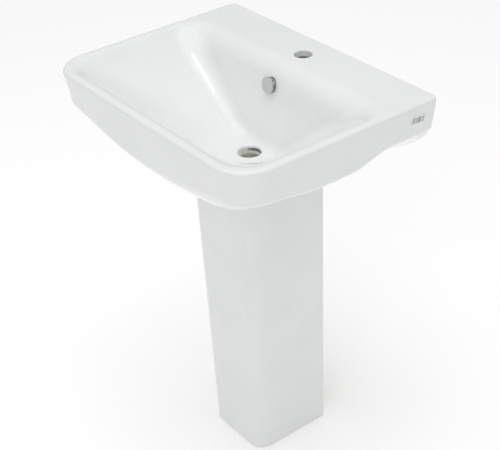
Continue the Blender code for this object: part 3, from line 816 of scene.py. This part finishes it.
mesh = block(
    (-LABEL_THICKNESS / 2, -LABEL_LENGTH / 2, -LABEL_HEIGHT / 2),
    (LABEL_THICKNESS / 2, LABEL_LENGTH / 2, LABEL_HEIGHT / 2),
)
corners = []
for edge in mesh.edges:
    near, far = edge.verts
    if abs(near.co.x - far.co.x) > LABEL_THICKNESS / 2:
        corners.append(edge)
bmesh.ops.bevel(
    mesh, geom=corners, offset=LABEL_CORNER, offset_type="OFFSET", affect="EDGES",
    segments=LABEL_CORNER_STEPS, profile=0.5, material=-1,
)
bmesh.ops.transform(mesh, matrix=Matrix.Translation(label_centre) @ label_turn, verts=mesh.verts)

# Coated label stock: a flat cool white with a slight satin, printed in grey bars of uneven width.

label_paper = bpy.data.materials.new("coated_label_paper")
label_paper.use_nodes = True
tree = label_paper.node_tree
shader = tree.nodes["Principled BSDF"]
coords = add_node(tree, "ShaderNodeTexCoord").outputs["Object"]
on_label = add_node(
    tree,
    "ShaderNodeMapping",
    {"Vector": coords, "Location": label_centre, "Rotation": label_turn.to_euler()},
    vector_type="TEXTURE",
)
place = add_node(tree, "ShaderNodeSeparateXYZ", {"Vector": on_label.outputs[0]})
column = add_node(tree, "ShaderNodeMath", {0: place.outputs["Y"], 1: BAR_PITCH}, operation="DIVIDE")
column = add_node(tree, "ShaderNodeMath", {0: column.outputs[0]}, operation="FLOOR")
chance = add_node(tree, "ShaderNodeTexWhiteNoise", {"W": column.outputs[0]}, noise_dimensions="1D")
printed = add_node(
    tree, "ShaderNodeMath", {0: chance.outputs["Value"], 1: BLANK_SHARE}, operation="GREATER_THAN"
)
for axis, half in (("Y", BARS_LENGTH / 2), ("Z", BARS_HEIGHT / 2)):
    away = add_node(tree, "ShaderNodeMath", {0: place.outputs[axis]}, operation="ABSOLUTE")
    inside = add_node(tree, "ShaderNodeMath", {0: away.outputs[0], 1: half}, operation="LESS_THAN")
    printed = add_node(
        tree, "ShaderNodeMath", {0: printed.outputs[0], 1: inside.outputs[0]}, operation="MULTIPLY"
    )
ink = add_node(
    tree,
    "ShaderNodeMix",
    {0: printed.outputs[0], 6: linear("#F4F5F5"), 7: linear("#6E7072")},
    data_type="RGBA",
)
tree.links.new(ink.outputs[2], shader.inputs["Base Color"])
fibre = add_node(tree, "ShaderNodeTexNoise", {"Vector": coords, "Scale": LABEL_FIBRE, "Detail": 2.0})
bump = add_node(
    tree, "ShaderNodeBump", {"Strength": 0.2, "Distance": FIBRE_DEPTH, "Height": fibre.outputs["Fac"]}
)
tree.links.new(bump.outputs[0], shader.inputs["Normal"])
shader.inputs["Roughness"].default_value = LABEL_ROUGHNESS

label = make_object("barcode_sticker", mesh, label_paper)
smooth(label)
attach(label, "root")
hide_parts("barcode_label")

# The studio. A wide pale floor, a white surround, and soft boxes overhead and to the front right, as
# sanitary ware is lit for a catalogue. The floor glows a little, so that it stays white.

FLOOR_SIZE = 60.0
FLOOR_GLOW = 0.17

mesh = bmesh.new()
bmesh.ops.create_grid(mesh, x_segments=1, y_segments=1, size=FLOOR_SIZE / 2)
pale_floor = bpy.data.materials.new("pale_studio_floor")
pale_floor.use_nodes = True
shader = pale_floor.node_tree.nodes["Principled BSDF"]
shader.inputs["Base Color"].default_value = linear("#FBFBFB")
shader.inputs["Roughness"].default_value = 1.0
shader.inputs["Specular IOR Level"].default_value = 0.0
shader.inputs["Emission Color"].default_value = (1, 1, 1, 1)
shader.inputs["Emission Strength"].default_value = FLOOR_GLOW
floor = make_object("studio_floor", mesh, pale_floor)

# The tent over the set: brightest overhead and dim towards the horizon, as a lit white ceiling is.

OVERHEAD_GLOW = 0.96
HORIZON_GLOW = 0.20

world = bpy.data.worlds.new("white_tent")
world.use_nodes = True
tree = world.node_tree
direction = add_node(tree, "ShaderNodeTexCoord").outputs["Generated"]
height = add_node(tree, "ShaderNodeSeparateXYZ", {"Vector": direction}).outputs["Z"]
glow = add_node(
    tree,
    "ShaderNodeMapRange",
    {"Value": height, "To Min": HORIZON_GLOW, "To Max": OVERHEAD_GLOW},
)
background = tree.nodes["Background"]
background.inputs["Color"].default_value = (1, 1, 1, 1)
tree.links.new(glow.outputs[0], background.inputs["Strength"])
bpy.context.scene.world = world

# A broad box to the front right and one overhead give the soft shading, and a small strip draws the
# bright line down the bowl's valley. Each has its place, what it points to, its size and its watts.

SOFT_BOXES = (
    ("front_right", (2.0, -2.4, 3.0), (0, 0, 0.7), (1.6, 1.6), 14),
    ("overhead", (0.0, -0.2, 3.6), (0, 0, 0.7), (2.4, 2.4), 19),
    ("strip", (0.46, -0.08, 3.28), (-0.17, 0.05, 0.76), (0.55, 0.22), 1.5),
)
for name, at, towards, size, power in SOFT_BOXES:
    light = bpy.data.lights.new(name, "AREA")
    light.shape = "RECTANGLE"
    light.size, light.size_y = size
    light.energy = power
    lamp = bpy.data.objects.new(name, light)
    lamp.location = at
    lamp.rotation_euler = (Vector(towards) - Vector(at)).to_track_quat("-Z", "Y").to_euler()
    bpy.context.scene.collection.objects.link(lamp)

# The camera, a long lens from the front right and well above the rim, tipped a little.

CAMERA_AT = Vector((1.6067, -1.1438, 1.7778))
CAMERA_AZIMUTH = math.radians(54.197)
CAMERA_ELEVATION = math.radians(32.68)
CAMERA_ROLL = math.radians(3.249)
LENS = 85.49
SENSOR_WIDTH = 36

flat = math.cos(CAMERA_ELEVATION)
forward = Vector(
    (-math.sin(CAMERA_AZIMUTH) * flat, math.cos(CAMERA_AZIMUTH) * flat, -math.sin(CAMERA_ELEVATION))
)
level_right = Vector((math.cos(CAMERA_AZIMUTH), math.sin(CAMERA_AZIMUTH), 0))
down = forward.cross(level_right)
right = math.cos(CAMERA_ROLL) * level_right + math.sin(CAMERA_ROLL) * down
down = math.cos(CAMERA_ROLL) * down - math.sin(CAMERA_ROLL) * level_right
camera = bpy.data.objects.new("camera", bpy.data.cameras.new("camera"))
camera.data.lens = LENS
camera.data.sensor_width = SENSOR_WIDTH
camera.matrix_world = Matrix.Translation(CAMERA_AT) @ Matrix((right, -down, -forward)).transposed().to_4x4()
bpy.context.scene.collection.objects.link(camera)
bpy.context.scene.camera = camera
bpy.context.scene.view_settings.view_transform = "Standard"
